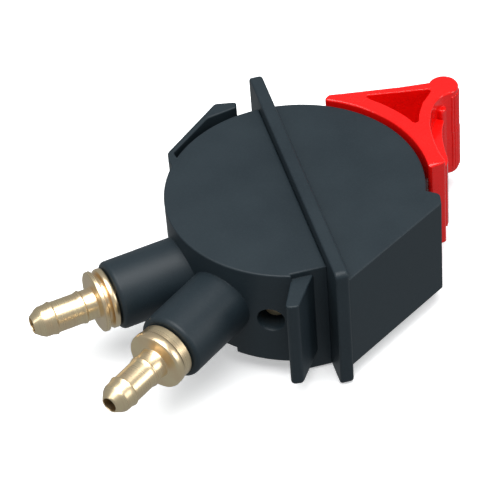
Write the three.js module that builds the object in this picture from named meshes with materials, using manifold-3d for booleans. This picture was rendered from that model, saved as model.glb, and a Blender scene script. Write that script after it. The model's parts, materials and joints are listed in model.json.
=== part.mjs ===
// Two-port hose shut-off valve with a snap-in panel flange and a swinging finger lever.
//
// The valve body is a squat drum. Its round axis is +Z and its top face is flat. A rectangular
// flange crosses the drum and bears on the front of a panel, so the drum's rear half, with two
// hose barbs, sits behind the panel and the lever is in front of it. +X points from the panel
// towards the lever. The origin is the middle of the flange's seating face.
//
// The drum is two moulded halves that close on the rotor. The lever's tongue goes through a slot
// in the front half and into the rotor, whose drilled passage joins the two ports when the lever
// is swung to the flange. All lengths are in millimetres.

import * as THREE from 'three';
import { mergeVertices } from 'three/addons/utils/BufferGeometryUtils.js';
import Module from 'manifold-3d';

const wasm = await Module();
wasm.setup();

// ---- driving dimensions ------------------------------------------------------------------

const drumRadius = 27;
const drumHeight = 23.8;
const wall = 2.2;
const gap = 0.3; // clearance kept between neighbouring pieces

const flangeBack = -0.35; // x of the face that seats on the panel, seen from the drum's axis
const flangeThickness = 2.9;
const flangeFront = flangeBack + flangeThickness;
const flangeNear = -31.65; // y of the flange's two ends
const flangeFar = 34.95;
const flangeTop = 2.9; // z above and below the drum's top face
const flangeBottom = -27.7;

const portHeight = -11.2; // z of both ports' axes
const portAngles = [190.8, 218];
const bossRadius = 7.25;
const bossEnds = [42.5, 43]; // distance of each boss's end face from the drum's axis
const shankRadius = 4;
const shankStart = 30;
const passageRadius = 1.2;
const seatRadius = 2.4;

const chamberRadius = 12.3;
const chamberWall = 2.5;
const rotorRadius = chamberRadius - gap;
const rotorTop = -3.6;
const rotorBottom = -20.2;
const washerThickness = 0.5;
const chamberTop = rotorTop + washerThickness + 2 * gap;
const chamberBottom = rotorBottom - washerThickness - 2 * gap;

const leverInnerRadius = 28.1;
const leverTop = 0.6;
const leverBottom = -22;
const leverTipAngle = 61; // angles of the lever's two ends round the drum's axis
const leverHeelAngle = -7;
const tongueAngle = 27.5;
const tongueWidth = 7;
const tongueTop = -9;
const tongueBottom = -14.6;
const swing = [-8, 22]; // degrees that the lever turns from the position it is drawn in

const adjusterAngle = -117; // the friction ball, its spring and its screw lie on this radius
const adjusterHeight = -12.3;
const adjusterBore = 2.65;

// ---- small helpers -----------------------------------------------------------------------

const radians = THREE.MathUtils.degToRad;

function polar(radius, degrees) {
  return new THREE.Vector2(radius * Math.cos(radians(degrees)), radius * Math.sin(radians(degrees)));
}

// Points along an arc round the drum's axis.
function arcPoints(radius, fromDegrees, toDegrees, steps) {
  const points = [];
  for (let i = 0; i <= steps; i += 1) {
    points.push(polar(radius, fromDegrees + ((toDegrees - fromDegrees) * i) / steps));
  }
  return points;
}

// A closed outline from corner points [x, y, corner radius].
function roundedOutline(corners, steps = 4) {
  const points = [];
  corners.forEach(([x, y, radius = 0], i) => {
    const corner = new THREE.Vector2(x, y);
    if (radius === 0) {
      points.push(corner);
      return;
    }
    const before = corners[(i + corners.length - 1) % corners.length];
    const after = corners[(i + 1) % corners.length];
    const towardsBefore = new THREE.Vector2(before[0], before[1]).sub(corner).normalize();
    const towardsAfter = new THREE.Vector2(after[0], after[1]).sub(corner).normalize();
    const halfAngle = Math.acos(towardsBefore.dot(towardsAfter)) / 2;
    const reach = radius / Math.tan(halfAngle);
    const start = corner.clone().addScaledVector(towardsBefore, reach);
    const end = corner.clone().addScaledVector(towardsAfter, reach);
    const curve = new THREE.QuadraticBezierCurve(start, corner, end);
    points.push(...curve.getPoints(steps));
  });
  return new THREE.Shape(points);
}

// A straight prism on an outline, from z = bottom to z = top. A rim over zero rounds its edges.
function prism(shape, bottom, top, rim = 0) {
  const geometry = new THREE.ExtrudeGeometry(shape, {
    depth: top - bottom - 2 * rim,
    curveSegments: 16,
    bevelEnabled: rim > 0,
    bevelThickness: rim,
    bevelSize: rim,
    bevelOffset: -rim,
    bevelSegments: 2,
  });
  geometry.translate(0, 0, bottom + rim);
  return geometry;
}

function disc(radius, steps = 72) {
  return new THREE.Shape(arcPoints(radius, 0, 360, steps).slice(0, -1));
}

function box(xRange, yRange, zRange) {
  const geometry = new THREE.BoxGeometry(
    xRange[1] - xRange[0],
    yRange[1] - yRange[0],
    zRange[1] - zRange[0],
  );
  geometry.translate(
    (xRange[0] + xRange[1]) / 2,
    (yRange[0] + yRange[1]) / 2,
    (zRange[0] + zRange[1]) / 2,
  );
  return geometry;
}

// A turned piece. The profile is a list of [distance along the axis, radius].
function turned(profile, steps = 28) {
  const points = profile.map(([along, radius]) => new THREE.Vector2(radius, along));
  return new THREE.LatheGeometry(points, steps);
}

// Lays a turned piece, whose axis is +Y, along a horizontal radius of the drum.
function alongRadius(geometry, degrees, height) {
  geometry.rotateZ(radians(degrees - 90));
  geometry.translate(0, 0, height);
  return geometry;
}

// A plain rod lying along a horizontal radius of the drum.
function radialRod(radius, from, to, degrees, height, steps = 20) {
  const rod = turned([[from, 0], [from, radius], [to, radius], [to, 0]], steps);
  return alongRadius(rod, degrees, height);
}

// A plain upright rod.
function uprightRod(radius, bottom, top, steps = 48) {
  return prism(disc(radius, steps), bottom, top);
}

// A plain rod along X.
function crossRod(radius, xRange, y, z, steps = 16) {
  const rod = turned([[xRange[0], 0], [xRange[0], radius], [xRange[1], radius], [xRange[1], 0]], steps);
  rod.rotateZ(-Math.PI / 2);
  rod.translate(0, y, z);
  return rod;
}

// Turns a closed three.js geometry into a manifold solid.
function solid(geometry) {
  const plain = geometry.index ? geometry.toNonIndexed() : geometry.clone();
  plain.deleteAttribute('normal');
  plain.deleteAttribute('uv');
  const merged = mergeVertices(plain, 1e-4);
  const corners = merged.index.array;
  const kept = [];
  for (let i = 0; i < corners.length; i += 3) {
    const [a, b, c] = [corners[i], corners[i + 1], corners[i + 2]];
    if (a !== b && b !== c && c !== a) {
      kept.push(a, b, c);
    }
  }
  return new wasm.Manifold(new wasm.Mesh({
    numProp: 3,
    vertProperties: new Float32Array(merged.attributes.position.array),
    triVerts: new Uint32Array(kept),
  }));
}

function joined(geometries) {
  return geometries.map(solid).reduce((whole, piece) => whole.add(piece));
}

// Turns a manifold solid back into a three.js geometry.
function geometryOf(manifold) {
  const mesh = manifold.getMesh();
  const geometry = new THREE.BufferGeometry();
  geometry.setAttribute('position', new THREE.BufferAttribute(mesh.vertProperties, 3));
  geometry.setIndex(new THREE.BufferAttribute(mesh.triVerts, 1));
  geometry.computeVertexNormals();
  return geometry;
}

const materials = {
  charcoal: { color: 0x2f363b, roughness: 0.5, metalness: 0 },
  red: { color: 0xe01612, roughness: 0.3, metalness: 0 },
  brass: { color: 0xd9b777, roughness: 0.22, metalness: 1 },
  acetal: { color: 0xe6e2d6, roughness: 0.4, metalness: 0 },
  rubber: { color: 0x17181a, roughness: 0.8, metalness: 0 },
  steel: { color: 0xb9bcc0, roughness: 0.3, metalness: 1 },
};

const valve = new THREE.Group();

function place(name, geometry, look) {
  const mesh = new THREE.Mesh(geometry, new THREE.MeshStandardMaterial({ ...materials[look] }));
  mesh.name = name;
  valve.add(mesh);
}

// ---- the drum's two halves ---------------------------------------------------------------

// The plan of the front half's stop block: its outer face is a flat that touches the drum's
// circle, and its end stops the lever's heel.
function blockOutline(inset) {
  const slope = radians(33.2);
  const normal = new THREE.Vector2(Math.sin(slope), -Math.cos(slope));
  const along = new THREE.Vector2(Math.cos(slope), Math.sin(slope));
  const onFace = (distance) => normal.clone()
    .multiplyScalar(drumRadius - inset)
    .addScaledVector(along, distance);
  const nearEnd = onFace(-14.9 + inset);
  const farEnd = onFace(15.25 - inset);
  const shoulder = polar(drumRadius + 3.55 - inset, -22);
  const heel = polar(drumRadius + 0.2 - inset, -20.2);
  return roundedOutline([
    [0, 0],
    [0, nearEnd.y],
    [nearEnd.x, nearEnd.y],
    [farEnd.x, farEnd.y, 0.5],
    [shoulder.x, shoulder.y, 1.2],
    [heel.x, heel.y],
  ]);
}

// A region that lies behind (or in front of) the closing face of the drum.
function behind(x) {
  return solid(box([-80, x], [-80, 80], [-60, 40]));
}

function inFront(x) {
  return solid(box([x, 80], [-80, 80], [-60, 40]));
}

const closingFace = flangeBack; // x of the rear half's open side, level with the seating face

// The outer shape of the drum, solid.
function drumBlank() {
  return solid(prism(disc(drumRadius), -drumHeight, 0, 0.4));
}

// The hollow round the rotor's chamber, before the posts and tubes that stand in it.
function drumHollow() {
  const outer = solid(uprightRod(drumRadius - wall, -drumHeight + wall, -wall));
  const inner = solid(uprightRod(chamberRadius + chamberWall, -drumHeight, 0));
  return outer.subtract(inner);
}

// The rotor's bore with the shallow bearing recesses above and below it.
function chamberBore() {
  return joined([
    uprightRod(chamberRadius, chamberBottom, chamberTop),
    uprightRod(4.3, -drumHeight + 1.2, -1.2, 20),
  ]);
}

const screwHeights = [-5.2, -18.6];
const screwSide = 20;

function screwPosts(xRange) {
  return joined(screwHeights.map((height) => crossRod(3.2, xRange, screwSide, height)));
}

// The rigid hook at the drum's near side that catches the panel's edge.
function hook() {
  const outline = roundedOutline([
    [-7.75, -24],
    [-7.75, -25.1],
    [-11.3, -32.7, 0.7],
    [-8.1, -33.3, 0.5],
    [-2.5, -25.1],
    [-2.5, -24],
  ]);
  return solid(prism(outline, -23.2, -1.4, 0.3));
}

// The foot of the snap arm, moulded with the drum.
function armFoot() {
  const outline = roundedOutline([
    [-21.2, 13.2],
    [-22.6, 16.2, 0.6],
    [-22.3, 19.6, 0.5],
    [-21.9, 20.2],
    [-20.9, 19.1],
    [-20.6, 17.3],
    [-19.2, 16.5],
  ], 3);
  return solid(prism(outline, -22, 0, 0.25));
}

// The web under the drum between the hook and the flange.
const gussetSides = [-25.15, -21.5];
const gussetBottom = -27.4;

function rearHalf() {
  const bosses = portAngles.map((angle, i) => {
    const end = bossEnds[i];
    const boss = turned([[14, 0], [14, bossRadius], [end - 0.7, bossRadius], [end - 0.2, bossRadius - 0.2],
      [end, bossRadius - 0.7], [end, 0]], 32);
    return solid(alongRadius(boss, angle, portHeight));
  });
  const adjusterTube = solid(radialRod(4.3, 13, 26, adjusterAngle, adjusterHeight));
  const hookSeat = box([-7.85, 0], [-40, -25.15], [-drumHeight - 5, 5]);
  const gusset = box([-7.8, closingFace], gussetSides, [gussetBottom, -drumHeight + 1]);
  const shallowSill = prism(
    new THREE.Shape([new THREE.Vector2(-10, -8), ...arcPoints(40, -132, -210, 8)]),
    -drumHeight - 1,
    -22.3,
  );

  let body = drumBlank().subtract(solid(hookSeat)).subtract(drumHollow());
  body = body.add(adjusterTube).add(screwPosts([-12.5, 0]));
  bosses.forEach((boss) => {
    body = body.add(boss);
  });
  body = body.add(hook()).add(solid(gusset)).add(armFoot()).subtract(solid(shallowSill));
  body = body.subtract(chamberBore());
  portAngles.forEach((angle) => {
    body = body
      .subtract(solid(radialRod(seatRadius + gap, 8, 15.7, angle, portHeight)))
      .subtract(solid(radialRod(passageRadius, 8, 40, angle, portHeight, 16)))
      .subtract(solid(radialRod(shankRadius + 0.4, shankStart - gap, 60, angle, portHeight)));
  });
  body = body
    .subtract(solid(radialRod(1.9, 8, 20, adjusterAngle, adjusterHeight, 20)))
    .subtract(solid(radialRod(adjusterBore, 14.8, 40, adjusterAngle, adjusterHeight)));
  screwHeights.forEach((height) => {
    body = body.subtract(solid(crossRod(1.7, [-10.5, 5], screwSide, height)));
  });
  return body.intersect(behind(closingFace));
}

// The slot that the tongue sweeps through as the lever swings.
function tongueSlot() {
  const half = tongueWidth / 2 + 0.6;
  const corner = (along, side, turn) => new THREE.Vector2(along, side)
    .rotateAround(new THREE.Vector2(), radians(tongueAngle + turn));
  const outline = new THREE.Shape([
    corner(9, -half, swing[0] - 1),
    corner(32, -half, swing[0] - 1),
    ...arcPoints(32, tongueAngle + swing[0], tongueAngle + swing[1], 6),
    corner(32, half, swing[1] + 1),
    corner(9, half, swing[1] + 1),
  ]);
  return solid(prism(outline, tongueBottom - 0.6, tongueTop + 0.6));
}

function flange() {
  const outline = roundedOutline([
    [flangeNear, flangeBottom, 1.4],
    [flangeFar, flangeBottom, 1.4],
    [flangeFar, flangeTop, 1.4],
    [flangeNear, flangeTop, 1.4],
  ]);
  const plate = prism(outline, 0, flangeThickness, 0.4);
  plate.rotateX(Math.PI / 2);
  plate.rotateZ(Math.PI / 2);
  plate.translate(flangeBack, 0, 0);
  return solid(plate);
}

// The front half is hollow only beside the chamber, so that its core can be drawn out backwards.
function frontHollow() {
  const sides = solid(box([-5, 80], [15, 24.4], [-40, 10]))
    .add(solid(box([-5, 80], [-24.4, -15], [-40, 10])));
  return drumHollow()
    .add(solid(prism(blockOutline(wall), -drumHeight + wall, -wall)))
    .subtract(solid(uprightRod(chamberRadius + chamberWall, -drumHeight, 0)))
    .intersect(sides);
}

// A shallow step in the flange's back that leaves room for the rear half's open side.
function closingRecess() {
  const depth = [flangeBack - 1, flangeBack + gap];
  const drumStep = box(depth, [-drumRadius - gap, drumRadius + gap], [-drumHeight - gap, gap]);
  const webStep = box(
    depth,
    [gussetSides[0] - gap, gussetSides[1] + gap],
    [flangeBottom - 1, -drumHeight + gap],
  );
  return solid(drumStep).add(solid(webStep));
}

function frontHalf() {
  const keeper = box([-3.4, 1], [-22.4, -18.8], [-17.5, -6.5]);
  const spine = box([flangeBack, 20], [-20.9, -19.3], [-drumHeight + 0.5, -0.5]);
  const outside = drumBlank().add(solid(prism(blockOutline(0), -drumHeight, 0, 0.4)));
  const kept = solid(spine).add(screwPosts([0, 15.5])).intersect(outside);

  let body = outside.add(flange()).intersect(inFront(flangeBack)).subtract(frontHollow());
  body = body.add(kept.intersect(inFront(flangeBack))).subtract(chamberBore());
  body = body.subtract(closingRecess()).add(solid(keeper)).subtract(tongueSlot());
  screwHeights.forEach((height) => {
    body = body
      .subtract(solid(crossRod(1.7, [-5, 30], screwSide, height)))
      .subtract(solid(crossRod(2.8, [12.2, 30], screwSide, height)));
  });
  return body;
}

// ---- the snap arm ------------------------------------------------------------------------

// A springy strip that runs round the drum and ends in a wedge. Pushing the valve into its
// panel bends the arm in until the wedge clicks behind the panel's edge.
function snapArm() {
  const outline = roundedOutline([
    [-21.65, 20.42],
    [-8.5, 32.3, 0.8],
    [-4.2, 31.25, 0.5],
    [-4.75, 29.5, 0.3],
    [-11.5, 28.05, 0.8],
    [-20.65, 19.4],
  ]);
  return prism(outline, -22, 0, 0.2);
}

// ---- the rotor and its seals -------------------------------------------------------------

const openingTurn = swing[1]; // the passage meets the ports when the lever is at the flange
const sealHeights = [-5.4, -18.4];

function rotor() {
  let body = joined([
    uprightRod(rotorRadius, rotorBottom, rotorTop),
    uprightRod(4, -drumHeight + 1.5, -1.5, 20),
  ]);
  portAngles.forEach((angle) => {
    body = body.subtract(solid(radialRod(passageRadius, 0, 20, angle - openingTurn, portHeight, 16)));
  });
  sealHeights.forEach((height) => {
    const groove = turned([[-1, 10.3], [-1, 14], [1, 14], [1, 10.3], [-1, 10.3]], 48);
    groove.rotateX(Math.PI / 2);
    groove.translate(0, 0, height);
    body = body.subtract(solid(groove));
  });
  const socket = box([3.6, 20], [-tongueWidth / 2 - gap, tongueWidth / 2 + gap],
    [tongueBottom - gap, tongueTop + gap]);
  socket.rotateZ(radians(tongueAngle));
  const pinSeat = polar(8, tongueAngle);
  const pinHole = uprightRod(1.5, -30, -6.5, 14);
  pinHole.translate(pinSeat.x, pinSeat.y, 0);
  const ballTrack = new THREE.TorusGeometry(12.9, 1.9, 10, 48);
  ballTrack.translate(0, 0, adjusterHeight);
  const trackReach = new THREE.Shape([
    new THREE.Vector2(0, 0),
    ...arcPoints(30, adjusterAngle - swing[1] - 8, adjusterAngle - swing[0] + 8, 8),
  ]);
  return body
    .subtract(solid(socket))
    .subtract(solid(pinHole))
    .subtract(solid(ballTrack).intersect(solid(prism(trackReach, -20, 0))));
}

function ring(radius, section, steps, sides) {
  return new THREE.TorusGeometry(radius, section, sides, steps);
}

function rotorSeal(height) {
  const seal = ring(11.3, 0.7, 32, 6);
  seal.translate(0, 0, height);
  return seal;
}

function thrustWasher(height) {
  const washer = turned([
    [0, 4.6],
    [0, 9],
    [washerThickness, 9],
    [washerThickness, 4.6],
    [0, 4.6],
  ]);
  washer.rotateX(Math.PI / 2);
  washer.translate(0, 0, height);
  return washer;
}

function portSeat(angle) {
  const block = solid(radialRod(seatRadius, 10, 15.4, angle, portHeight))
    .subtract(solid(radialRod(passageRadius + 0.1, 8, 20, angle, portHeight, 20)));
  return block.subtract(solid(uprightRod(chamberRadius, -30, 10)));
}

// ---- the brass hose barbs ----------------------------------------------------------------

// Every barb has the same nose and two ridges. Distances are measured back from the tip.
const tipBore = 1.5;
const tailRadius = 3.25;
const ridgeRadius = 3.5;

function barbTail(tip) {
  return [
    [tip - 11.2, tailRadius],
    [tip - 11, ridgeRadius],
    [tip - 9.95, tailRadius],
    [tip - 4.75, tailRadius],
    [tip - 4.55, ridgeRadius],
    [tip - 3.5, tailRadius],
    [tip - 2.2, tailRadius],
    [tip - 1.4, 2.85],
    [tip - 0.2, 1.95],
    [tip, 1.75],
    [tip, tipBore],
  ];
}

function barbShank(bossEnd) {
  return [
    [shankStart, tipBore],
    [shankStart, shankRadius - 0.5],
    [shankStart + 0.6, shankRadius],
    [bossEnd - 3.2, shankRadius],
    [bossEnd - 3.2, 2.9],
    [bossEnd - 1.2, 2.9],
    [bossEnd - 1.2, shankRadius],
    [bossEnd + gap, shankRadius],
  ];
}

// The first barb's collar is a pair of thin discs with a groove between them.
function groovedBarb() {
  const end = bossEnds[0];
  const profile = [
    ...barbShank(end),
    [end + 0.3, 6.1],
    [end + 0.55, 6.35],
    [end + 1.5, 6.35],
    [end + 1.75, 5.5],
    [end + 2.5, 5.5],
    [end + 2.7, 6.45],
    [end + 3.5, 6.45],
    [end + 3.7, 6.2],
    [end + 3.7, tailRadius],
    ...barbTail(60.3),
  ];
  return alongRadius(turned([...profile, profile[0]]), portAngles[0], portHeight);
}

// The second barb's collar is one thick disc, a little wider at its front.
function plainBarb() {
  const end = bossEnds[1];
  const profile = [
    ...barbShank(end),
    [end + 0.3, 5.8],
    [end + 0.5, 6.1],
    [end + 2.6, 6.1],
    [end + 2.8, 6.35],
    [end + 4.4, 6.35],
    [end + 4.65, 6.1],
    [end + 4.65, tailRadius],
    ...barbTail(61.95),
  ];
  return alongRadius(turned([...profile, profile[0]]), portAngles[1], portHeight);
}

function barbSeal(i) {
  const seal = ring(3.65, 0.45, 20, 6);
  seal.rotateX(Math.PI / 2);
  seal.translate(0, bossEnds[i] - 2.2, 0);
  return alongRadius(seal, portAngles[i], portHeight);
}

// ---- the lever ---------------------------------------------------------------------------

const grip = new THREE.Vector2(39.3, 21); // centre of the round bead that a finger pushes
const gripRadius = 3.2;

// The hollow in front of the bead that the finger goes into, from the bead to the heel.
function fingerHollow() {
  const curve = new THREE.SplineCurve([
    new THREE.Vector2(39.4, 17.85),
    new THREE.Vector2(37.4, 17.35),
    new THREE.Vector2(35.6, 15.9),
    new THREE.Vector2(34.2, 13.9),
    new THREE.Vector2(33.1, 11.4),
    new THREE.Vector2(32.3, 9),
    new THREE.Vector2(31.65, 4.8),
    new THREE.Vector2(31.45, 1),
    new THREE.Vector2(31.65, -2.2),
  ]);
  return curve.getPoints(28);
}

function leverOutline() {
  const bead = [];
  for (let i = 0; i <= 16; i += 1) {
    const angle = radians(144 - (144 + 78) * (i / 16));
    bead.push(new THREE.Vector2(gripRadius * Math.cos(angle), gripRadius * Math.sin(angle)).add(grip));
  }
  return new THREE.Shape([
    ...arcPoints(leverInnerRadius, leverHeelAngle + 1, leverTipAngle - 1.2, 30),
    polar(leverInnerRadius + 0.25, leverTipAngle - 0.3),
    polar(leverInnerRadius + 0.9, leverTipAngle - 0.1),
    new THREE.Vector2(14.8, 25.95),
    new THREE.Vector2(19, 25.15),
    new THREE.Vector2(24.5, 24.3),
    new THREE.Vector2(30, 23.45),
    ...bead,
    ...fingerHollow(),
    new THREE.Vector2(31.4, -2.9),
    new THREE.Vector2(30.9, -3.2),
    polar(leverInnerRadius + 0.6, leverHeelAngle),
  ]);
}

// The three-cornered pocket that thins the lever, between its arc, its back and the hollow.
function leverPocket() {
  return new THREE.Shape([
    new THREE.Vector2(23.4, 22.75),
    new THREE.Vector2(22.8, 22.45),
    ...arcPoints(31.4, 43.5, 21, 12),
    polar(31.5, 19.6),
    new THREE.Vector2(30.1, 10.35),
    new THREE.Vector2(30.5, 11.4),
    new THREE.Vector2(31.5, 14.1),
    new THREE.Vector2(33.2, 17),
    new THREE.Vector2(35.7, 19.5),
    new THREE.Vector2(36, 20.2),
    new THREE.Vector2(35.5, 20.85),
  ]);
}

function lever() {
  const tongue = box([4, 31], [-tongueWidth / 2, tongueWidth / 2], [tongueBottom, tongueTop]);
  tongue.rotateZ(radians(tongueAngle));
  const pinSeat = polar(8, tongueAngle);
  const pinHole = uprightRod(1.5, -30, 0, 14);
  pinHole.translate(pinSeat.x, pinSeat.y, 0);
  const pocket = leverPocket();
  return solid(prism(leverOutline(), leverBottom, leverTop, 0.35))
    .add(solid(tongue))
    .subtract(solid(prism(pocket, -11, leverTop + 2)))
    .subtract(solid(prism(pocket, leverBottom - 2, -13.5)))
    .subtract(solid(pinHole));
}

function leverPin() {
  const seat = polar(8, tongueAngle);
  const pin = prism(disc(1.2, 14), -19.8, -6.8, 0.2);
  pin.translate(seat.x, seat.y, 0);
  return pin;
}

// ---- the friction adjuster ---------------------------------------------------------------

// A ball that a spring presses into the rotor's track: it holds the lever where it is put.
function frictionBall() {
  const ball = new THREE.SphereGeometry(1.6, 14, 8);
  ball.rotateX(Math.PI / 2);
  const centre = polar(12.9, adjusterAngle);
  ball.translate(centre.x, centre.y, adjusterHeight);
  return ball;
}

class Helix extends THREE.Curve {
  constructor(radius, from, to, turns) {
    super();
    this.radius = radius;
    this.from = from;
    this.to = to;
    this.turns = turns;
  }

  getPoint(t, target = new THREE.Vector3()) {
    const angle = 2 * Math.PI * this.turns * t;
    return target.set(
      this.radius * Math.cos(angle),
      this.from + (this.to - this.from) * t,
      this.radius * Math.sin(angle),
    );
  }
}

function frictionSpring() {
  const wire = disc(0.28, 5);
  const spring = new THREE.ExtrudeGeometry(wire, {
    steps: 50,
    bevelEnabled: false,
    extrudePath: new Helix(1.5, 15.2, 19.2, 5),
  });
  return alongRadius(spring, adjusterAngle, adjusterHeight);
}

function frictionScrew() {
  const slot = box([-3, 3], [22.4, 25], [-0.35, 0.35]);
  const screw = turned([[19.9, 0], [19.9, 1.9], [20.3, 2.3], [23.1, 2.3], [23.4, 2], [23.4, 0]], 20);
  return solid(alongRadius(screw, adjusterAngle, adjusterHeight))
    .subtract(solid(alongRadius(slot, adjusterAngle, adjusterHeight)));
}

// ---- the two screws that close the drum --------------------------------------------------

function closingScrew(height) {
  const shaft = turned([[-9.5, 0], [-8.6, 1.3], [12.5, 1.3], [12.5, 2.4], [13.9, 2.4], [14.4, 1.8],
    [14.4, 0]], 20);
  shaft.rotateZ(-Math.PI / 2);
  shaft.translate(0, screwSide, height);
  const slot = box([13.7, 16], [screwSide - 4, screwSide + 4], [height - 0.35, height + 0.35]);
  return solid(shaft).subtract(solid(slot));
}

// ---- assembly ----------------------------------------------------------------------------

place('housing_rear', geometryOf(rearHalf()), 'charcoal');
place('housing_front', geometryOf(frontHalf()), 'charcoal');
place('snap_arm', snapArm(), 'charcoal');
place('lever', geometryOf(lever()), 'red');
place('lever_pin', leverPin(), 'steel');
place('rotor', geometryOf(rotor()), 'acetal');
sealHeights.forEach((height, i) => {
  place(`rotor_seal_${i + 1}`, rotorSeal(height), 'rubber');
});
place('thrust_washer_1', thrustWasher(rotorTop + gap), 'steel');
place('thrust_washer_2', thrustWasher(chamberBottom + gap), 'steel');
portAngles.forEach((angle, i) => {
  place(`port_seat_${i + 1}`, geometryOf(portSeat(angle)), 'rubber');
});
place('hose_barb_1', groovedBarb(), 'brass');
place('hose_barb_2', plainBarb(), 'brass');
place('barb_seal_1', barbSeal(0), 'rubber');
place('barb_seal_2', barbSeal(1), 'rubber');
place('friction_ball', frictionBall(), 'steel');
place('friction_spring', frictionSpring(), 'steel');
place('friction_screw', geometryOf(frictionScrew()), 'brass');
screwHeights.forEach((height, i) => {
  place(`closing_screw_${i + 1}`, geometryOf(closingScrew(height)), 'steel');
});

// The drum's axis is drawn at the origin, so the whole valve moves to put the origin in the
// middle of the flange's seating face.
valve.position.set(
  -flangeBack,
  -(flangeNear + flangeFar) / 2,
  -(flangeTop + flangeBottom) / 2,
);

export default valve;
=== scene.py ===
"""Looks of a snap-in hose shut-off valve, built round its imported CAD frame.

Shapes are drawn in millimetres in the drum's own frame: +Z is the drum's axis, z = 0 is its top
face and +X points from the panel towards the lever. to_frame turns them into the CAD frame.
"""

import json
import math

import bmesh
import bpy
from mathutils import Matrix, Vector


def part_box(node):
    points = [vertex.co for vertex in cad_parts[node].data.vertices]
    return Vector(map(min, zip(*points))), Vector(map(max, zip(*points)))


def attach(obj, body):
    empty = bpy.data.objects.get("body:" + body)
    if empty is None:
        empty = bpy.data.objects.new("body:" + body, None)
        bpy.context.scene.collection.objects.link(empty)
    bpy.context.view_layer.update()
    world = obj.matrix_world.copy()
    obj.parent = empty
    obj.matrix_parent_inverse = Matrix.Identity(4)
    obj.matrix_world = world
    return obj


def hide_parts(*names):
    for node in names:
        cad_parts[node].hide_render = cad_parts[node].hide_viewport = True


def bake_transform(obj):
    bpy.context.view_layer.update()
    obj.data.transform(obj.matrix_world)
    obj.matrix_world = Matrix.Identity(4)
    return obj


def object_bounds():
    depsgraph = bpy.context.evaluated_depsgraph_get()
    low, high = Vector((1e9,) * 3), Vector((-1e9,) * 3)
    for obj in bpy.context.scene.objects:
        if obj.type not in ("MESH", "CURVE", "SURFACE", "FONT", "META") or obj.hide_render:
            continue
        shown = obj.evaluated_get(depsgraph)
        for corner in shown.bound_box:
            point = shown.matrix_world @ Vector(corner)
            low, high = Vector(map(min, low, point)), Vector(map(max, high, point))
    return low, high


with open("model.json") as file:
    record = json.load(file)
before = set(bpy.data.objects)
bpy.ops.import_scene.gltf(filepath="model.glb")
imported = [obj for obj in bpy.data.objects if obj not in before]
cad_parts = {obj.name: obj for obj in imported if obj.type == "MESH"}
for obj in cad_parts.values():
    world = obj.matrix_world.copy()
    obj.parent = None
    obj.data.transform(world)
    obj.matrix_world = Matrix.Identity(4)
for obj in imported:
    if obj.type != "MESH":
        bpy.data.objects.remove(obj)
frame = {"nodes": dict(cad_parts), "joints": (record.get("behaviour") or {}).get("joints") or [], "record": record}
cad_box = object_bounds()

# ---- driving sizes, in millimetres ---------------------------------------------------------

MM = 0.001
lever_joint = next(joint for joint in frame["joints"] if joint["name"] == "lever_swing")
drum_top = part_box("housing_rear")[1].z
axis_x, axis_y, _ = lever_joint["pos_m"]
to_frame = Matrix.Translation((axis_x, axis_y, drum_top)) @ Matrix.Scale(MM, 4)

DRUM_RADIUS = 27.0
DRUM_BOTTOM = -23.8
REAR_FACE = -0.38  # x of the rear half's closing face
FLANGE_X = (-0.35, 2.55)
FLANGE_Y = (-31.65, 34.95)
FLANGE_Z = (-27.7, 2.9)
PORT_Z = -11.2
PORT_ANGLES = (190.8, 218.0)
BOSS_RADIUS = 7.25
BOSS_ENDS = (42.5, 43.0)  # distance of the bosses' end faces from the drum's axis
ADJUSTER_ANGLE = -117.0
ADJUSTER_Z = -12.3
SCREW_Y = 20.0
SCREW_ZS = (-5.2, -18.6)
LEVER_RADIUS = 28.1
LEVER_Z = (-22.0, 0.6)
TONGUE_ANGLE = 27.5
TONGUE_Z = (-14.6, -9.0)
TONGUE_WIDTH = 7.0
BARB_BORE = 1.5
BARB_TIPS = (59.9, 61.75)  # distance of the barbs' tips from the drum's axis
TAIL_RADIUS = 3.27
RIDGE_RADIUS = 3.55
CHAMBER_RADIUS = 12.3
BEARING_RADIUS = 4.3
SOCKET_RADIUS = 4.4
SEAT_RADIUS = 2.7
PASSAGE_RADIUS = 1.2
BALL_BORE_RADIUS = 1.9
SCREW_BORE_RADIUS = 1.7
SCREW_HEAD_RADIUS = 2.8
PIN_RADIUS = 1.5
SHARP_DEGREES = 38  # edges sharper than this keep their crease

# Stands a plan outline up, so that its x runs along Y, its y along Z and its height along X.
STOOD_UP = Matrix(((0, 0, 1, 0), (1, 0, 0, 0), (0, 1, 0, 0), (0, 0, 0, 1)))

# ---- outlines ------------------------------------------------------------------------------


def polar(radius, degrees):
    """A point in plan at that distance and angle from the drum's axis."""
    angle = math.radians(degrees)
    return Vector((radius * math.cos(angle), radius * math.sin(angle)))


def arc(radius, start, end, steps):
    """Points along an arc round the drum's axis."""
    return [polar(radius, start + (end - start) * i / steps) for i in range(steps + 1)]


def rounded(corners, steps=6):
    """A closed outline from corners (x, y) or (x, y, radius), with the radii drawn as arcs."""
    points = []
    for i, corner in enumerate(corners):
        here = Vector(corner[:2])
        if len(corner) == 2:
            points.append(here)
            continue
        to_before = (Vector(corners[i - 1][:2]) - here).normalized()
        to_after = (Vector(corners[(i + 1) % len(corners)][:2]) - here).normalized()
        half = math.acos(max(-1.0, min(1.0, to_before.dot(to_after)))) / 2
        centre = here + (to_before + to_after).normalized() * corner[2] / math.sin(half)
        start = here + to_before * corner[2] / math.tan(half) - centre
        end = here + to_after * corner[2] / math.tan(half) - centre
        turn = math.atan2(start.x * end.y - start.y * end.x, start.dot(end))
        for k in range(steps + 1):
            points.append(centre + rotated(start, turn * k / steps))
    return points


def rotated(vector, angle):
    """The plan vector turned by an angle in radians."""
    return Vector((
        vector.x * math.cos(angle) - vector.y * math.sin(angle),
        vector.x * math.sin(angle) + vector.y * math.cos(angle),
    ))


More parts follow.
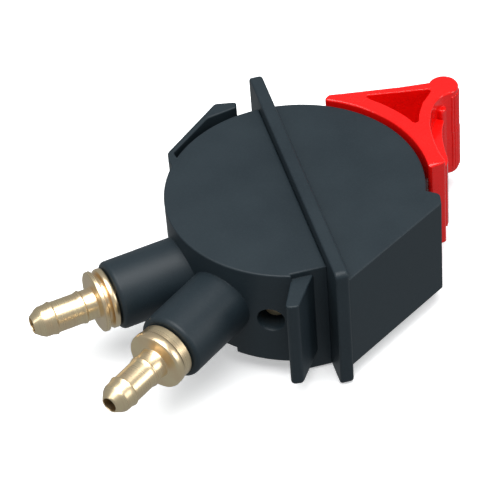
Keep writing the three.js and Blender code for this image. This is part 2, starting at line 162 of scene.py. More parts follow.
def smooth_curve(knots, steps=6):
    """Points along a Catmull-Rom curve through the knots."""
    knots = [Vector(knot) for knot in knots]
    padded = [2 * knots[0] - knots[1], *knots, 2 * knots[-1] - knots[-2]]
    points = []
    for a, b, c, d in zip(padded, padded[1:], padded[2:], padded[3:]):
        for k in range(steps):
            t = k / steps
            points.append(0.5 * (
                2 * b + (c - a) * t + (2 * a - 5 * b + 4 * c - d) * t**2
                + (3 * b - a - 3 * c + d) * t**3
            ))
    return points + [knots[-1]]


def divided(outline, longest):
    """The outline with its long straight sides cut into pieces no longer than that."""
    points = []
    for here, after in zip(outline, outline[1:] + outline[:1]):
        cuts = max(1, math.ceil((after - here).length / longest))
        points += [here.lerp(after, k / cuts) for k in range(cuts)]
    return points


def counter_clockwise(outline):
    """The outline without doubled points, running counter-clockwise."""
    points = [p for p, before in zip(outline, outline[-1:] + outline[:-1]) if (p - before).length > 1e-4]
    pairs = zip(points, points[1:] + points[:1])
    area = sum(a.x * b.y - a.y * b.x for a, b in pairs)
    return points if area > 0 else points[::-1]


def inset(outline, distance):
    """A counter-clockwise outline moved inwards, or outwards if the distance is negative."""
    moved = []
    for i, here in enumerate(outline):
        before = (here - outline[i - 1]).normalized()
        after = (outline[(i + 1) % len(outline)] - here).normalized()
        normals = Vector((-before.y, before.x)) + Vector((-after.y, after.x))
        moved.append(here + normals * distance / max(0.3, 1 + before.dot(after)))
    return moved


# ---- solids --------------------------------------------------------------------------------


def mesh_object(name, points, faces):
    """A new object in the scene, made of those points and faces."""
    mesh = bpy.data.meshes.new(name)
    mesh.from_pydata([tuple(p) for p in points], [], faces)
    piece = bpy.data.objects.new(name, mesh)
    bpy.context.scene.collection.objects.link(piece)
    return piece


def prism(name, outline, bottom, top, rims=(0.0, 0.0), steps=4):
    """A prism on a plan outline. Each rim is the radius that rounds its bottom or top edge; a
    negative rim flares the edge out instead, for a tool that rounds a pocket's mouth."""
    outline = counter_clockwise(outline)
    levels = []
    for k in range(steps + 1 if rims[0] else 1):
        angle = math.radians(90 * k / steps)
        reach = rims[0] * (1 - math.sin(angle))
        levels.append((reach, bottom + abs(rims[0]) * (1 - math.cos(angle))))
    for k in range(steps + 1 if rims[1] else 1):
        angle = math.radians(90 * k / steps) if rims[1] else 0
        reach = rims[1] * (1 - math.cos(angle))
        levels.append((reach, top - abs(rims[1]) * (1 - math.sin(angle))))
    count = len(outline)
    points = []
    for reach, height in levels:
        points += [(p.x, p.y, height) for p in (inset(outline, reach) if reach else outline)]
    faces = [tuple(range(count))[::-1]]
    for level in range(len(levels) - 1):
        base = level * count
        for i in range(count):
            j = (i + 1) % count
            faces.append((base + i, base + j, base + count + j, base + count + i))
    faces.append(tuple(range(len(points) - count, len(points))))
    return mesh_object(name, points, faces)


def turned(name, profile, steps=96):
    """A piece turned round the Y axis. The profile is a closed loop of (along, radius)."""
    points = []
    rings = []
    for along, radius in profile:
        if radius < 1e-6:
            rings.append([len(points)])
            points.append((0.0, along, 0.0))
            continue
        rings.append(list(range(len(points), len(points) + steps)))
        for i in range(steps):
            angle = 2 * math.pi * i / steps
            points.append((radius * math.cos(angle), along, radius * math.sin(angle)))
    faces = []
    closed = len(rings[0]) > 1
    pairs = list(zip(rings, rings[1:] + rings[:1]))
    for one, two in pairs if closed else pairs[:-1]:
        for i in range(steps):
            j = (i + 1) % steps
            corners = [one[i % len(one)], one[j % len(one)], two[j % len(two)], two[i % len(two)]]
            faces.append(tuple(dict.fromkeys(corners)))
    piece = mesh_object(name, points, faces)
    outward(piece.data)
    return piece


def outward(mesh):
    """Makes a closed mesh's faces look out."""
    work = bmesh.new()
    work.from_mesh(mesh)
    bmesh.ops.recalc_face_normals(work, faces=work.faces)
    work.to_mesh(mesh)
    work.free()


def radial(degrees, height):
    """Turns the Y axis to a horizontal radius of the drum at that height."""
    return Matrix.Translation((0, 0, height)) @ Matrix.Rotation(math.radians(degrees - 90), 4, "Z")


def moved(piece, matrix):
    """The piece, with its mesh moved by the matrix."""
    piece.data.transform(matrix)
    return piece


def radial_rod(name, radius, start, end, degrees, height, steps=64):
    """A plain rod along a radius of the drum."""
    profile = [(start, 0), (start, radius), (end, radius), (end, 0)]
    return moved(turned(name, profile, steps), radial(degrees, height))


def cross_rod(name, radius, start, end, y, z, steps=48):
    """A plain rod along X."""
    profile = [(start, 0), (start, radius), (end, radius), (end, 0)]
    along_x = Matrix.Translation((0, y, z)) @ Matrix.Rotation(math.radians(-90), 4, "Z")
    return moved(turned(name, profile, steps), along_x)


def block(name, x_range, y_range, z_range, rim=0.0):
    """A box between two limits on each axis."""
    (left, right), (near, far) = x_range, y_range
    corners = [Vector(corner) for corner in ((left, near), (right, near), (right, far), (left, far))]
    return prism(name, corners, *z_range, (rim, rim))


def combine(piece, tool, operation):
    """Joins a tool to a piece, or cuts it away, and deletes the tool."""
    modifier = piece.modifiers.new("combine", "BOOLEAN")
    modifier.operation = operation
    modifier.solver = "EXACT"
    modifier.object = tool
    graph = bpy.context.evaluated_depsgraph_get()
    mesh = bpy.data.meshes.new_from_object(piece.evaluated_get(graph))
    piece.modifiers.clear()
    piece.data = mesh
    bpy.data.objects.remove(tool)
    return piece


def add(piece, *tools):
    """The piece with every tool joined to it."""
    for tool in tools:
        combine(piece, tool, "UNION")
    return piece


def cut(piece, *tools):
    """The piece with every tool cut away from it."""
    for tool in tools:
        combine(piece, tool, "DIFFERENCE")
    return piece


# ---- the rear half of the drum -------------------------------------------------------------

HOOK_SEAT = (-7.85, -25.15)  # the notch at the drum's near side that the hook stands in


def edge_angle(x):
    """The angle at which the drum's circle crosses that x, on the far side."""
    return math.degrees(math.acos(x / DRUM_RADIUS))


def rear_drum():
    """The rear half's round body, with the notch for the hook."""
    outline = arc(DRUM_RADIUS, edge_angle(REAR_FACE), 360 - edge_angle(HOOK_SEAT[0]), 100)
    outline += [Vector(HOOK_SEAT), Vector((REAR_FACE, HOOK_SEAT[1]))]
    return prism("rear_shell", outline, DRUM_BOTTOM, 0, (0.4, 0.35))


def hook():
    """The rigid hook that holds the near edge of the panel."""
    outline = rounded([
        (-7.8, -23),
        (-7.8, -25.1),
        (-11.2, -32.7, 0.9),
        (-8.5, -33.1, 0.9),
        (-3.2, -25.1),
        (-3.2, -23),
    ])
    return prism("hook", outline, -23.2, -1.4, (0.8, 0.35))


def boss(angle, end):
    """A boss tube's solid outside, rounded at its end."""
    profile = rounded([(14, 0), (14, BOSS_RADIUS), (end, BOSS_RADIUS, 1.0), (end, 0)], 8)
    return moved(turned("boss", [tuple(p) for p in profile]), radial(angle, PORT_Z))


def rear_shell():
    """The whole rear half, hollowed for the rotor, the barbs, the friction ball and the screws."""
    web = block("web", (-7.8, REAR_FACE), (-25.15, -21.5), (-27.4, -22.8), 0.3)
    piece = add(rear_drum(), web, hook(), arm_foot())
    # The drum's floor is a little higher under the bosses.
    sill = [Vector((-10, -8)), *arc(40, -132, -210, 24)]
    cut(piece, prism("sill", sill, DRUM_BOTTOM - 1, -22.3))
    for angle, end in zip(PORT_ANGLES, BOSS_ENDS):
        add(piece, boss(angle, end))
    cut(piece, *chamber_tools())
    for angle, end in zip(PORT_ANGLES, BOSS_ENDS):
        cut(piece, radial_rod("socket", SOCKET_RADIUS, 29.7, end + 5, angle, PORT_Z))
        cut(piece, radial_rod("seat", SEAT_RADIUS, 8, 15.7, angle, PORT_Z))
        cut(piece, radial_rod("passage", PASSAGE_RADIUS, 8, 40, angle, PORT_Z, 32))
    mouth = [(14.8, 0), (14.8, 2.65), (26.2, 2.65), (26.9, 2.95), (29, 4.2), (29, 0)]
    cut(piece, moved(turned("mouth", mouth), radial(ADJUSTER_ANGLE, ADJUSTER_Z)))
    cut(piece, radial_rod("ball_bore", BALL_BORE_RADIUS, 8, 20, ADJUSTER_ANGLE, ADJUSTER_Z, 48))
    for height in SCREW_ZS:
        cut(piece, cross_rod("screw_bore", SCREW_BORE_RADIUS, -10.5, 5, SCREW_Y, height))
    return piece


def chamber_tools():
    """The rotor's bore and its two bearing recesses."""
    return [
        prism("chamber", arc(CHAMBER_RADIUS, 0, 360, 96)[:-1], -21.3, -2.5),
        prism("bearings", arc(BEARING_RADIUS, 0, 360, 48)[:-1], DRUM_BOTTOM + 1.2, -1.2),
    ]


# ---- the front half, its stop block and the flange -----------------------------------------


def block_corners():
    """Plan corners of the stop block: the near and far ends of its flat face, and the shoulder and
    the heel of the end that stops the lever."""
    slope = math.radians(33.2)
    normal = Vector((math.sin(slope), -math.cos(slope))) * DRUM_RADIUS
    along = Vector((math.cos(slope), math.sin(slope)))
    near, far = normal - along * 14.9, normal + along * 14.6
    return near, far, polar(DRUM_RADIUS + 3.0, -22.7), polar(DRUM_RADIUS + 0.2, -21.3)


def front_drum():
    """The front half's body with the stop block."""
    near, far, shoulder, heel = block_corners()
    inside_flange = 1.0
    corners = [(inside_flange, near.y), tuple(near), (*far, 0.5), (*shoulder, 1.3), tuple(heel)]
    outline = rounded(corners, 8) + arc(DRUM_RADIUS, -20.4, edge_angle(inside_flange), 70)
    return prism("front_shell", outline, DRUM_BOTTOM, 0, (0.4, 0.35))


def flange():
    """The upright plate that rests on the panel."""
    outline = rounded([
        (FLANGE_Y[0], FLANGE_Z[0], 1.3),
        (FLANGE_Y[1], FLANGE_Z[0], 1.3),
        (FLANGE_Y[1], FLANGE_Z[1], 1.3),
        (FLANGE_Y[0], FLANGE_Z[1], 1.3),
    ], 8)
    plate = prism("flange", outline, *FLANGE_X, (0.5, 0.7), 6)
    return moved(plate, STOOD_UP)


def tongue_slot():
    """The slot in the drum's wall that the lever's tongue swings in."""
    half = TONGUE_WIDTH / 2 + 0.6
    low, high = lever_joint["range_deg"]
    corners = ((9, -half, low - 1), (32, -half, low - 1), (32, half, high + 1), (9, half, high + 1))
    sides = []
    for along, side, turn in corners:
        sides.append(rotated(Vector((along, side)), math.radians(TONGUE_ANGLE + turn)))
    outline = sides[:2] + arc(32, TONGUE_ANGLE + low, TONGUE_ANGLE + high, 12) + sides[2:]
    return prism("tongue_slot", outline, TONGUE_Z[0] - 0.6, TONGUE_Z[1] + 0.6)


def front_shell():
    """The whole front half, with the screws' holes."""
    piece = add(front_drum(), flange())
    cut(piece, *chamber_tools(), tongue_slot())
    for height in SCREW_ZS:
        cut(piece, cross_rod("screw_bore", SCREW_BORE_RADIUS, -5, 30, SCREW_Y, height))
        cut(piece, cross_rod("screw_head", SCREW_HEAD_RADIUS, 12.2, 30, SCREW_Y, height))
    return piece


# ---- the snap arm --------------------------------------------------------------------------


ARM_ROOT = Vector((-21.2, 19.5))  # where the strip leaves its foot
ARM_SLOPE = 42.0  # the strip's direction in plan, in degrees


def whole_arm(name):
    """The foot and the springy strip that ends in a wedge, as one shape."""
    outline = rounded([
        (-19.6, 13.2),
        (-22.4, 14.4, 0.5),
        (-22.6, 16.8, 1.5),
        (-22.35, 19.3, 1.2),
        (-8.9, 31.9, 1.4),
        (-4.3, 30.9, 0.6),
        (-4.75, 29.1, 0.5),
        (-11.5, 27.6, 1.6),
        (-21.05, 18.9, 0.7),
        (-20.8, 17.2, 0.7),
        (-19.0, 15.9),
    ])
    return prism(name, divided(outline, 0.8), -22, 0, (0.3, 0.35))


def beyond_root(near, far):
    """A block across the arm, from one distance past the root to another."""
    tool = block("beyond_root", (near, far), (-30, 30), (-30, 10))
    turn = Matrix.Rotation(math.radians(ARM_SLOPE), 4, "Z")
    return moved(tool, Matrix.Translation((*ARM_ROOT, 0)) @ turn)


def arm_foot():
    """The part of the arm that stays with the rear half."""
    return cut(whole_arm("arm_foot"), beyond_root(0, 60))


def snap_arm():
    """The part of the arm that bends."""
    return cut(whole_arm("snap_arm_strip"), beyond_root(-60, 0.02))


# ---- the lever -----------------------------------------------------------------------------

BEAD = Vector((39.05, 21.0))
BEAD_RADIUS = 3.2
HOLLOW = [
    (39.15, 17.85),
    (37.4, 17.35),
    (35.6, 15.9),
    (34.2, 13.9),
    (33.1, 11.4),
    (32.3, 9.0),
    (31.65, 4.8),
    (31.45, 1.0),
    (31.65, -1.9),
]


def lever_blank():
    """The lever's outline: inner arc, tip, back, round bead, finger hollow and heel."""
    bead = [BEAD + p for p in arc(BEAD_RADIUS, 144, -78, 36)]
    back = [(19.0, 25.3), (24.5, 24.45), (30.0, 23.55)]
    inner_tip = polar(LEVER_RADIUS, 61.4)
    tip = rounded([polar(LEVER_RADIUS, 57), (*inner_tip, 0.6), (14.9, 26.05, 0.9), back[0]])[1:-1]
    inner_heel = polar(LEVER_RADIUS, -7.6)
    heel = rounded([HOLLOW[-1], (31.8, -3.15, 0.7), (*inner_heel, 0.8), polar(LEVER_RADIUS, -4)])[1:-1]
    outline = arc(LEVER_RADIUS, -4, 57, 60) + tip + smooth_curve(back)
    outline += bead + smooth_curve(HOLLOW) + heel
    return prism("lever_moulding", outline, *LEVER_Z, (0.4, 0.45), 5)


def pocket_tool(bottom, top, rims):
    """The three-cornered pocket that thins the lever."""
    outline = rounded([
        (22.0, 23.1, 0.4),
        *arc(31.4, 43.0, 23, 14),
        (29.7, 9.3, 0.7),
        (31.1, 13.2),
        (33.0, 16.7),
        (36.6, 20.5, 0.7),
    ])
    return prism("pocket", outline, bottom, top, rims)


def heel_chamfer():
    """Rounds the top edge of the heel's end face more than the rest."""
    radius = 1.3
    end = -3.75
    profile = [(end - 1, LEVER_Z[1] + 1), (end - 1, LEVER_Z[1] - radius), (end, LEVER_Z[1] - radius)]
    for k in range(1, 9):
        angle = math.radians(90 * k / 8)
        height = LEVER_Z[1] - radius * (1 - math.sin(angle))
        profile.append((end + radius * (1 - math.cos(angle)), height))
    profile.append((end + radius, LEVER_Z[1] + 1))
    tool = prism("heel_round", [Vector(p) for p in profile], 26, 34)
    return moved(tool, STOOD_UP)


def hollow_ledge():
    """The lower wall of the finger hollow stands a little proud of the upper one."""
    outer = smooth_curve([
        (37.4, 15.5), (36.3, 13.2), (35.3, 10.2), (34.6, 6.4), (34.2, 3.2), (33.4, 1.4),
    ])
    inner = smooth_curve([(30.6, 1.6), (31.0, 6.5), (31.7, 10.6), (33.4, 14.8), (35.2, 17.2)])
    return prism("ledge", outer + inner, LEVER_Z[0] + 0.1, -4.5, (0.2, 0.25))


def hollow_rib():
    """An upright rib with a round top that stands in the corner between the hollow and the bead."""
    outline = rounded([(35.6, 17.6), (37.1, 15.9, 0.6), (38.3, 16.6, 0.6), (38.6, 18.6)])
    return prism("hollow_rib", outline, LEVER_Z[0] + 0.1, -2.4, (0.3, 0.55))


def serrations():
    """Upright ribs on the bead's flank that keep a finger from slipping, with the step that the
    mould's parting line leaves half way down."""
    ribs = []
    for k in range(5):
        angle = math.radians(-14 - 14 * k)
        for low, high, shift in ((-21.0, -10.6, 0.1), (-10.7, -0.7, 0.0)):
            centre = BEAD + (BEAD_RADIUS - 0.12) * Vector((math.cos(angle), math.sin(angle)))
            circle = [centre + Vector((shift, 0)) + p for p in arc(0.36, 0, 360, 16)[:-1]]
            ribs.append(prism("rib", circle, low, high, (0.15, 0.15)))
    return ribs


def lever():
    """The whole lever, with the tongue that reaches into the drum and the hole for its pin."""
    piece = lever_blank()
    add(piece, hollow_ledge(), hollow_rib())
    cut(piece, heel_chamfer())
    cut(piece, pocket_tool(-11, LEVER_Z[1] + 0.05, (0.2, -0.35)))
    cut(piece, pocket_tool(LEVER_Z[0] - 0.05, -13.5, (-0.3, 0.2)))
    half = TONGUE_WIDTH / 2
    tongue = block("tongue", (4, 31), (-half, half), TONGUE_Z, 0.3)
    add(piece, moved(tongue, Matrix.Rotation(math.radians(TONGUE_ANGLE), 4, "Z")))
    seat = polar(8, TONGUE_ANGLE)
    hole = prism("pin_hole", [seat + p for p in arc(PIN_RADIUS, 0, 360, 24)[:-1]], -30, 0)
    cut(piece, hole)
    add(piece, *serrations())
    return piece


# ---- the brass barbs and the screws --------------------------------------------------------


def barb_tail(tip):
    """The outside of the tube with its two ridges, then the rounded tip and the bore's mouth."""
    return [
        (tip - 11.2, TAIL_RADIUS),
        (tip - 11.03, RIDGE_RADIUS - 0.05),
        (tip - 10.9, RIDGE_RADIUS),
        (tip - 10.75, RIDGE_RADIUS - 0.04),
        (tip - 9.95, TAIL_RADIUS),
        (tip - 4.78, TAIL_RADIUS),
        (tip - 4.6, RIDGE_RADIUS - 0.05),
        (tip - 4.48, RIDGE_RADIUS),
        (tip - 4.3, RIDGE_RADIUS - 0.05),
        (tip - 3.5, TAIL_RADIUS),
        (tip - 2.25, TAIL_RADIUS - 0.03),
        (tip - 1.9, TAIL_RADIUS - 0.14),
        (tip - 1.45, 2.9),
        (tip - 0.3, 2.05),
        (tip - 0.08, 1.9),
        (tip, 1.75),
        (tip - 0.02, BARB_BORE + 0.06),
        (tip - 0.2, BARB_BORE),
    ]


def barb_shank(end):
    """The part inside the boss, with the groove for its seal."""
    return [
        (30, BARB_BORE),
        (30, 3.5),
        (30.6, 4),
        (end - 3.2, 4),
        (end - 3.2, 2.9),
        (end - 1.2, 2.9),
        (end - 1.2, 4),
        (end + 0.3, 4),
    ]


def grooved_collar(end):
    """Two thin discs with a groove between them."""
    return [
        (end + 0.3, 6.0),
        (end + 0.42, 6.22),
        (end + 0.6, 6.35),
        (end + 1.4, 6.35),
        (end + 1.58, 6.24),
        (end + 1.68, 5.95),
        (end + 1.75, 5.1),
        (end + 2.45, 5.1),
        (end + 2.5, 5.95),
        (end + 2.6, 6.3),
        (end + 2.75, 6.44),
        (end + 3.4, 6.44),
        (end + 3.6, 6.34),
        (end + 3.7, 6.15),
        (end + 3.7, TAIL_RADIUS + 0.35),
        (end + 3.8, TAIL_RADIUS + 0.1),
        (end + 4.05, TAIL_RADIUS),
    ]


def plain_collar(end):
    """One thick disc with a faint step, a little wider at its front."""
    return [
        (end + 0.3, 5.8),
        (end + 0.42, 6.0),
        (end + 0.6, 6.1),
        (end + 2.6, 6.12),
        (end + 2.68, 6.18),
        (end + 2.8, 6.28),
        (end + 3.0, 6.34),
        (end + 4.25, 6.34),
        (end + 4.48, 6.24),
        (end + 4.61, 6.05),
        (end + 4.65, 5.85),
        (end + 4.65, TAIL_RADIUS + 0.4),
        (end + 4.75, TAIL_RADIUS + 0.12),
        (end + 5.0, TAIL_RADIUS),
    ]


def barb(name, i, collar):
    """One hose barb in its place, with the given collar's profile."""
    end = BOSS_ENDS[i]
    piece = turned(name, barb_shank(end) + collar(end) + barb_tail(BARB_TIPS[i]), 144)
    return moved(piece, radial(PORT_ANGLES[i], PORT_Z))


def slotted_screw(name, profile, slot_depth, slot_width):
    """A turned screw, its head at the far end of its profile, with a driver slot."""
    head = max(along for along, _ in profile)
    widest = max(radius for _, radius in profile)
    piece = turned(name, profile, 64)
    across, through = widest + 1, slot_width / 2
    slot = block("slot", (-across, across), (head - slot_depth, head + 1), (-through, through))
    return cut(piece, slot)


def friction_screw():
    """The threaded screw in the side hole."""
    profile = [(19.9, 0), (19.9, 1.9), (20.3, 2.3)]
    for k in range(5):
        start = 20.4 + 0.5 * k
        profile += [(start, 2.32), (start + 0.25, 2.12), (start + 0.48, 2.32)]
    profile += [(23.2, 2.2), (23.4, 2.0), (23.4, 0)]
    return moved(slotted_screw("side_screw", profile, 1.0, 0.7), radial(ADJUSTER_ANGLE, ADJUSTER_Z))


def closing_screw(i):
    """A pan-headed screw through both halves."""
    shank = [(-9.5, 0), (-8.6, 1.3), (12.5, 1.3)]
    head = [(12.5, 2.3), (12.7, 2.45), (13.7, 2.4), (14.2, 2.0), (14.4, 1.4), (14.4, 0)]
    piece = slotted_screw(f"closing_screw_head_{i + 1}", shank + head, 0.7, 0.7)
    along_x = Matrix.Translation((0, SCREW_Y, SCREW_ZS[i])) @ Matrix.Rotation(math.radians(-90), 4, "Z")
    return moved(piece, along_x)


# ---- materials -----------------------------------------------------------------------------


class Nodes:
    """A small helper that builds one material's nodes."""

    def __init__(self, name):
        self.material = bpy.data.materials.new(name)
        self.material.use_nodes = True
        self.tree = self.material.node_tree
        self.shader = self.tree.nodes["Principled BSDF"]
        self.place = self.add("ShaderNodeTexCoord").outputs["Object"]

    def add(self, kind, inputs=None, **settings):
        node = self.tree.nodes.new(kind)
        for key, value in settings.items():
            setattr(node, key, value)
        for key, value in (inputs or {}).items():
            self.set(node.inputs[key], value)
        return node

    def set(self, socket, value):
        if isinstance(value, bpy.types.NodeSocket):
            self.tree.links.new(value, socket)
        else:
            socket.default_value = value

    def noise(self, scale, detail=3.0, roughness=0.5, place=None):
        node = self.add("ShaderNodeTexNoise", {
            "Vector": place or self.place, "Scale": scale, "Detail": detail, "Roughness": roughness,
        })
        return node.outputs["Fac"]

    def ranged(self, value, low, high, to_low, to_high):
        node = self.add("ShaderNodeMapRange", {
            "Value": value, "From Min": low, "From Max": high, "To Min": to_low, "To Max": to_high,
        })
        return node.outputs["Result"]

    def mix(self, factor, one, two):
        node = self.add("ShaderNodeMix", data_type="RGBA")
        self.set(node.inputs["Factor"], factor)
        self.set(node.inputs["A"], one)
        self.set(node.inputs["B"], two)
        return node.outputs["Result"]

    def bump(self, height, distance, strength=1.0, normal=None):
        node = self.add("ShaderNodeBump", {"Height": height, "Distance": distance, "Strength": strength})
        if normal is not None:
            self.set(node.inputs["Normal"], normal)
        return node.outputs["Normal"]

    def finish(self, **values):
        for key, value in values.items():
            self.set(self.shader.inputs[key.replace("_", " ")], value)
        return self.material


def rgb(red, green, blue):
    return (red, green, blue, 1.0)


def charcoal_plastic():
    """Satin moulded nylon, blue-grey, with the mould's fine grain and faint rub marks."""
    nodes = Nodes("charcoal_plastic")
    soft = nodes.add("ShaderNodeBevel", {"Radius": 0.22 * MM}, samples=4).outputs["Normal"]
    cloud = nodes.noise(90, 4)
    speckle = nodes.noise(2600, 2)
    grain = nodes.noise(5200, 3, 0.6)
    stretched = nodes.add("ShaderNodeMapping", {
        "Vector": nodes.place, "Scale": (1, 0.06, 1), "Rotation": (0, 0, 0.5),
    })
    rub = nodes.ranged(nodes.noise(1500, 3, 0.55, stretched.outputs["Vector"]), 0.62, 0.75, 0, 1)
    cloudy = nodes.ranged(cloud, 0.3, 0.7, 0, 1)
    colour = nodes.mix(cloudy, rgb(0.0115, 0.0195, 0.0255), rgb(0.0145, 0.024, 0.0305))
    colour = nodes.mix(nodes.ranged(speckle, 0.45, 0.75, 0, 0.35), colour, rgb(0.022, 0.034, 0.042))
    matt = nodes.ranged(cloud, 0.3, 0.7, 0.44, 0.52)
    polish = nodes.ranged(rub, 0, 1, 0, -0.05)
    rough = nodes.add("ShaderNodeMath", {0: matt, 1: polish}, operation="ADD").outputs["Value"]
    normal = nodes.bump(grain, 0.012 * MM, 0.35, soft)
    return nodes.finish(Base_Color=colour, Roughness=rough, Normal=normal, Specular_IOR_Level=0.35)


def red_plastic():
    """Gloss moulded red with a slightly wavy surface."""
    nodes = Nodes("red_plastic")
    soft = nodes.add("ShaderNodeBevel", {"Radius": 0.2 * MM}, samples=4).outputs["Normal"]
    cloud = nodes.noise(160, 3)
    cloudy = nodes.ranged(cloud, 0.3, 0.7, 0, 1)
    colour = nodes.mix(cloudy, rgb(0.82, 0.003, 0.002), rgb(0.9, 0.005, 0.003))
    rough = nodes.ranged(nodes.noise(420, 3), 0.3, 0.7, 0.2, 0.3)
    wave = nodes.bump(nodes.noise(260, 2), 0.05 * MM, 0.35, soft)
    normal = nodes.bump(nodes.noise(4200, 2), 0.006 * MM, 0.25, wave)
    return nodes.finish(
        Base_Color=colour, Roughness=rough, Normal=normal, Coat_Weight=0.35, Coat_Roughness=0.08,
        Specular_IOR_Level=0.35,
    )


def turned_brass(name, degrees):
    """Bright turned brass: fine rings round its axis, which lies at that angle in plan, and a
    little uneven tarnish."""
    nodes = Nodes(name)
    axis = (*polar(1, degrees), 0)
    dot = nodes.add("ShaderNodeVectorMath", {0: nodes.place, 1: axis}, operation="DOT_PRODUCT")
    along = dot.outputs["Value"]
    rings = nodes.add("ShaderNodeTexNoise", {
        "W": along, "Scale": 7000, "Detail": 4, "Roughness": 0.6,
    }, noise_dimensions="1D").outputs["Fac"]
    coarse = nodes.add("ShaderNodeTexNoise", {
        "W": along, "Scale": 1400, "Detail": 2,
    }, noise_dimensions="1D").outputs["Fac"]
    tarnish = nodes.noise(260, 4)
    tarnished = nodes.ranged(tarnish, 0.35, 0.7, 0, 1)
    colour = nodes.mix(tarnished, rgb(0.9, 0.74, 0.47), rgb(0.86, 0.66, 0.42))
    colour = nodes.mix(nodes.ranged(coarse, 0.4, 0.7, 0, 0.4), colour, rgb(0.8, 0.6, 0.38))
    rough = nodes.ranged(rings, 0.3, 0.7, 0.26, 0.38)
    normal = nodes.bump(rings, 0.006 * MM, 0.35)
    return nodes.finish(Base_Color=colour, Metallic=1.0, Roughness=rough, Normal=normal)


def stainless():
    """Bright stainless steel with a fine uneven finish."""
    nodes = Nodes("stainless")
    fine = nodes.noise(3000, 3)
    cloudy = nodes.ranged(nodes.noise(400), 0.3, 0.7, 0, 1)
    colour = nodes.mix(cloudy, rgb(0.6, 0.61, 0.62), rgb(0.7, 0.7, 0.7))
    rough = nodes.ranged(fine, 0.3, 0.7, 0.22, 0.36)
    normal = nodes.bump(fine, 0.01 * MM, 0.3)
    return nodes.finish(Base_Color=colour, Metallic=1.0, Roughness=rough, Normal=normal)


def white_acetal():
    """Off-white acetal, slightly translucent, with a fine grain."""
    nodes = Nodes("white_acetal")
    fine = nodes.noise(2200, 3)
    cloudy = nodes.ranged(nodes.noise(150), 0.3, 0.7, 0, 1)
    colour = nodes.mix(cloudy, rgb(0.76, 0.74, 0.67), rgb(0.82, 0.8, 0.74))
    rough = nodes.ranged(fine, 0.3, 0.7, 0.32, 0.42)
    normal = nodes.bump(fine, 0.01 * MM, 0.3)
    return nodes.finish(
        Base_Color=colour, Roughness=rough, Normal=normal,
        Subsurface_Weight=0.1, Subsurface_Scale=MM,
    )


def black_rubber():
    """Dull black rubber with a fine grain."""
    nodes = Nodes("black_rubber")
    fine = nodes.noise(1800, 4)
    grainy = nodes.ranged(fine, 0.3, 0.7, 0, 1)
    colour = nodes.mix(grainy, rgb(0.012, 0.012, 0.013), rgb(0.024, 0.024, 0.025))
    rough = nodes.ranged(fine, 0.3, 0.7, 0.6, 0.8)
    normal = nodes.bump(fine, 0.02 * MM, 0.4)
    return nodes.finish(Base_Color=colour, Roughness=rough, Normal=normal)


# ---- assembly ------------------------------------------------------------------------------


def shade(piece, sharp_degrees):
    """Smooth shading that keeps real edges and leaves flat faces flat."""
    mesh = piece.data
    work = bmesh.new()
    work.from_mesh(mesh)
    bmesh.ops.remove_doubles(work, verts=work.verts, dist=0.002)
    bmesh.ops.dissolve_degenerate(work, edges=work.edges, dist=0.002)
    work.to_mesh(mesh)
    work.free()
    mesh.shade_smooth()
    mesh.set_sharp_from_angle(angle=math.radians(sharp_degrees))
    weighted = piece.modifiers.new("flat faces", "WEIGHTED_NORMAL")
    weighted.keep_sharp = True
    weighted.weight = 100


def put(piece, material, node, body):
    """Finishes a piece, moves it to the CAD frame and lets it stand for its CAD node."""
    shade(piece, SHARP_DEGREES)
    piece.data.transform(to_frame)
    piece.data.materials.clear()
    piece.data.materials.append(material)
    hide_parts(node)
    if body is not None:
        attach(piece, body)
    return piece


materials = {make.__name__: make() for make in (
    charcoal_plastic, red_plastic, stainless, white_acetal, black_rubber,
)}
materials["turned_brass"] = turned_brass("turned_brass", ADJUSTER_ANGLE)
node_slots = {part["node"]: part["material_slot"] for part in frame["record"]["subparts"]}
for node_name, node in frame["nodes"].items():
    node.data.materials.clear()
    node.data.materials.append(materials[node_slots[node_name]])

charcoal = materials["charcoal_plastic"]
put(rear_shell(), charcoal, "housing_rear", "body")
put(front_shell(), charcoal, "housing_front", "body")
put(lever(), materials["red_plastic"], "lever", "lever_and_rotor")
barb_kinds = (("barb_grooved", grooved_collar), ("barb_plain", plain_collar))
for index, (name, collar) in enumerate(barb_kinds):
    brass = turned_brass(f"turned_brass_{index + 1}", PORT_ANGLES[index])
    put(barb(name, index, collar), brass, f"hose_barb_{index + 1}", "body")
put(friction_screw(), materials["turned_brass"], "friction_screw", "body")
for index in range(2):
    put(closing_screw(index), materials["stainless"], f"closing_screw_{index + 1}", "body")

arm = put(snap_arm(), charcoal, "snap_arm", None)
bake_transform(arm)

# ---- floor, lights and camera --------------------------------------------------------------


def floor():
    """A plain pale studio floor under the valve."""
    half = 2.5
    height = cad_box[0].z - 0.2 * MM
    corners = [(x * half, y * half, height) for x, y in ((-1, -1), (1, -1), (1, 1), (-1, 1))]
    piece = mesh_object("studio_floor", corners, [(0, 1, 2, 3)])
    nodes = Nodes("studio_white")
    colour = nodes.mix(nodes.noise(3, 2), rgb(0.93, 0.93, 0.93), rgb(0.95, 0.95, 0.95))
    piece.data.materials.append(nodes.finish(
        Base_Color=colour, Roughness=0.9, Emission_Color=rgb(1, 1, 1), Emission_Strength=0.4,
    ))
    piece.visible_diffuse = False
    piece.visible_glossy = False


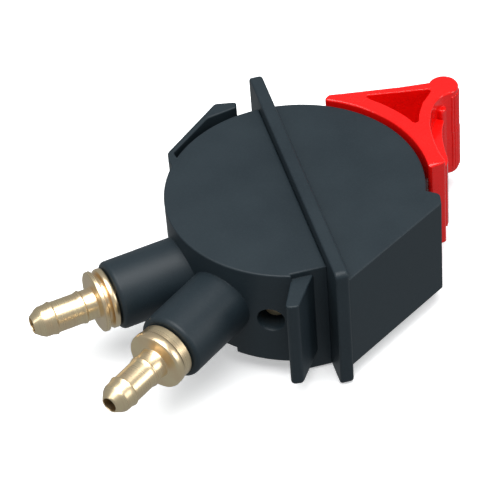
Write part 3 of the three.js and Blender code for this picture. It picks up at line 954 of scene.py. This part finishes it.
def softbox(name, azimuth, elevation, distance, size, watts):
    """An area light that looks at the middle of the valve. Azimuths are like the camera's."""
    light = bpy.data.lights.new(name, "AREA")
    light.shape = "RECTANGLE"
    light.size, light.size_y = size
    light.energy = watts
    lamp = bpy.data.objects.new(name, light)
    bpy.context.scene.collection.objects.link(lamp)
    away = direction(azimuth, elevation)
    lamp.location = away * distance
    lamp.rotation_mode = "QUATERNION"
    lamp.rotation_quaternion = away.to_track_quat("Z", "Y")


def direction(azimuth, elevation):
    """The way from the valve to a viewer: azimuth 0 looks along +Y."""
    a, e = math.radians(azimuth), math.radians(elevation)
    return Vector((math.sin(a) * math.cos(e), -math.cos(a) * math.cos(e), math.sin(e)))


def studio():
    """A wide soft light overhead, a weaker lamp on each side and a pale world."""
    softbox("overhead", -20, 80, 0.9, (0.8, 0.8), 10.5)
    softbox("left", -80, 35, 0.9, (0.08, 0.7), 0.9)
    softbox("front_right", 60, 22, 1.0, (0.3, 0.5), 2.4)
    world = bpy.data.worlds.new("studio_air")
    world.use_nodes = True
    background = world.node_tree.nodes["Background"]
    background.inputs["Color"].default_value = rgb(0.9, 0.96, 1.0)
    background.inputs["Strength"].default_value = 0.35
    bpy.context.scene.world = world
    bpy.context.scene.view_settings.view_transform = "Standard"


def camera():
    """A long lens, looking down on the valve from its hose side."""
    azimuth, elevation, roll = -11.42, 42.2, -4.98
    distance = 0.49871
    looks_at = to_frame @ Vector((-14.3, -13.55, 0))
    back = direction(azimuth, elevation)
    data = bpy.data.cameras.new("camera")
    data.sensor_width = 36
    data.lens = 183.0
    data.clip_start = 0.01
    piece = bpy.data.objects.new("camera", data)
    bpy.context.scene.collection.objects.link(piece)
    right = (-back).cross(Vector((0, 0, 1))).normalized()
    up = right.cross(-back)
    turned_right = right * math.cos(math.radians(roll)) + up * math.sin(math.radians(roll))
    turned_up = up * math.cos(math.radians(roll)) - right * math.sin(math.radians(roll))
    rows = Matrix((turned_right, turned_up, back)).transposed()
    piece.matrix_world = Matrix.Translation(looks_at + back * distance) @ rows.to_4x4()
    bpy.context.scene.camera = piece


floor()
studio()
camera()
